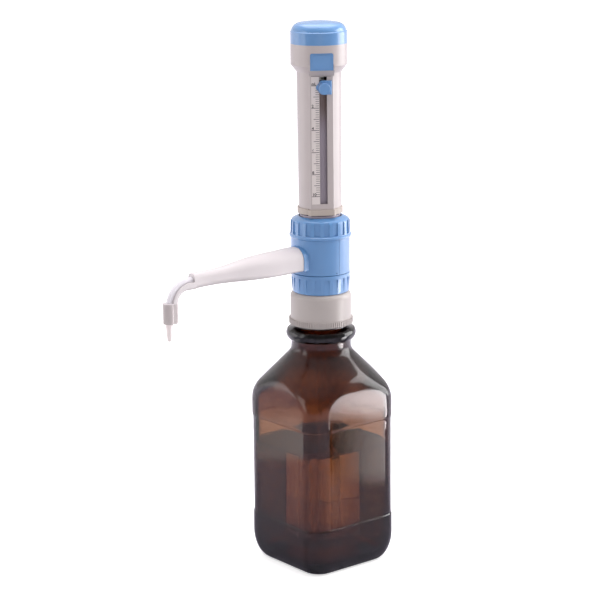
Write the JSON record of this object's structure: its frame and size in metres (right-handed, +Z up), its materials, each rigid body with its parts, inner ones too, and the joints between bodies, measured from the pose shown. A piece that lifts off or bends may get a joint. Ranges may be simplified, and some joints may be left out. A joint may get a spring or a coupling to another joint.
{
  "type": "bottle-top dispenser",
  "caption": "Bottle-top piston dispenser on a square amber glass bottle, with lifting housing, volume pointer, swivelling spout and ball valves.",
  "frame": {"origin": "on the bottle's axis, at the surface that the bottle stands on", "axes": "+Z up along the bottle's and the piston's axis, -X along the discharge spout, bottle faces square to X and Y"},
  "size_m": [0.2099, 0.095, 0.4656],
  "materials": {
    "amber_glass": "clear brown bottle glass, glossy",
    "clear_glass": "clear borosilicate glass, polished",
    "clear_tube": "clear fluoropolymer tube, glossy",
    "adapter_plastic": "moulded, satin warm grey",
    "housing_plastic": "moulded, satin warm light grey",
    "rim_plastic": "moulded, satin beige grey",
    "scale_white": "printed scale film, satin",
    "spout_white": "moulded, satin white",
    "nozzle_milky": "milky fluoropolymer",
    "core_plastic": "natural polypropylene",
    "seal_white": "white fluoropolymer seal",
    "blue_plastic": "moulded, satin sky blue",
    "sleeve_grey": "moulded, dark grey",
    "valve_ball": "polished glass ball",
    "steel": "turned stainless screw"
  },
  "bodies": {
    "bottle": {"bottle": "amber_glass"},
    "carrier": {"neck_gasket": "seal_white"},
    "adapter": {"thread_adapter": "adapter_plastic", "mounting_ring": "blue_plastic"},
    "valve_block": {"valve_core": "core_plastic", "valve_block_front_shell": "blue_plastic", "valve_block_rear_shell": "blue_plastic", "fixing_ring": "blue_plastic", "cylinder_sleeve": "sleeve_grey", "glass_cylinder": "clear_glass", "cylinder_seal": "seal_white", "outlet_valve_body": "core_plastic", "discharge_nut": "core_plastic", "discharge_tube": "clear_tube", "spout_sleeve": "spout_white", "nozzle_tip": "nozzle_milky", "inlet_valve_body": "core_plastic", "filling_tube_upper": "clear_tube"},
    "inlet_ball": {"inlet_ball": "valve_ball"},
    "outlet_ball": {"outlet_ball": "valve_ball"},
    "filling_tube": {"filling_tube_lower": "clear_tube"},
    "housing": {"housing": "housing_plastic", "housing_rim": "rim_plastic", "top_cap": "blue_plastic", "cover_plate": "blue_plastic", "scale_plate": "scale_white", "piston_rod": "core_plastic", "piston_seal": "seal_white", "calibration_nut": "rim_plastic"},
    "pointer": {"volume_pointer": "blue_plastic", "stop_lug": "sleeve_grey"},
    "knob": {"clamp_knob": "blue_plastic", "clamp_screw": "steel"}
  },
  "joints": [
    {"name": "dispenser_lift", "type": "slide", "parent": "bottle", "child": "carrier", "axis": [0, 0, 1], "range_m": [0, 0.008]},
    {"name": "adapter_unscrew", "type": "hinge", "parent": "carrier", "child": "adapter", "pos_m": [0, 0, 0.215], "axis": [0, 0, 1], "range_deg": [0, 720]},
    {"name": "block_swivel", "type": "hinge", "parent": "carrier", "child": "valve_block", "pos_m": [0, 0, 0.2475], "axis": [0, 0, 1], "continuous": true},
    {"name": "housing_lift", "type": "slide", "parent": "valve_block", "child": "housing", "axis": [0, 0, 1], "range_m": [0, 0.0924]},
    {"name": "volume_setting", "type": "slide", "parent": "housing", "child": "pointer", "axis": [0, 0, -1], "range_m": [0, 0.091]},
    {"name": "clamp_knob_turn", "type": "hinge", "parent": "pointer", "child": "knob", "pos_m": [-0.0106, -0.01876, 0.4128], "axis": [-0.5476, -0.8368, 0], "range_deg": [0, 360]},
    {"name": "inlet_ball_lift", "type": "slide", "parent": "valve_block", "child": "inlet_ball", "axis": [0, 0, 1], "range_m": [0, 0.0015]},
    {"name": "outlet_ball_shift", "type": "slide", "parent": "valve_block", "child": "outlet_ball", "axis": [-1, 0, 0], "range_m": [0, 0.0015]},
    {"name": "filling_tube_slide", "type": "slide", "parent": "valve_block", "child": "filling_tube", "axis": [0, 0, 1], "range_m": [0, 0.08]}
  ],
  "couplings": [
    {"joint": "dispenser_lift", "follows": "adapter_unscrew", "m_per_rad": 0.00063661}
  ]
}
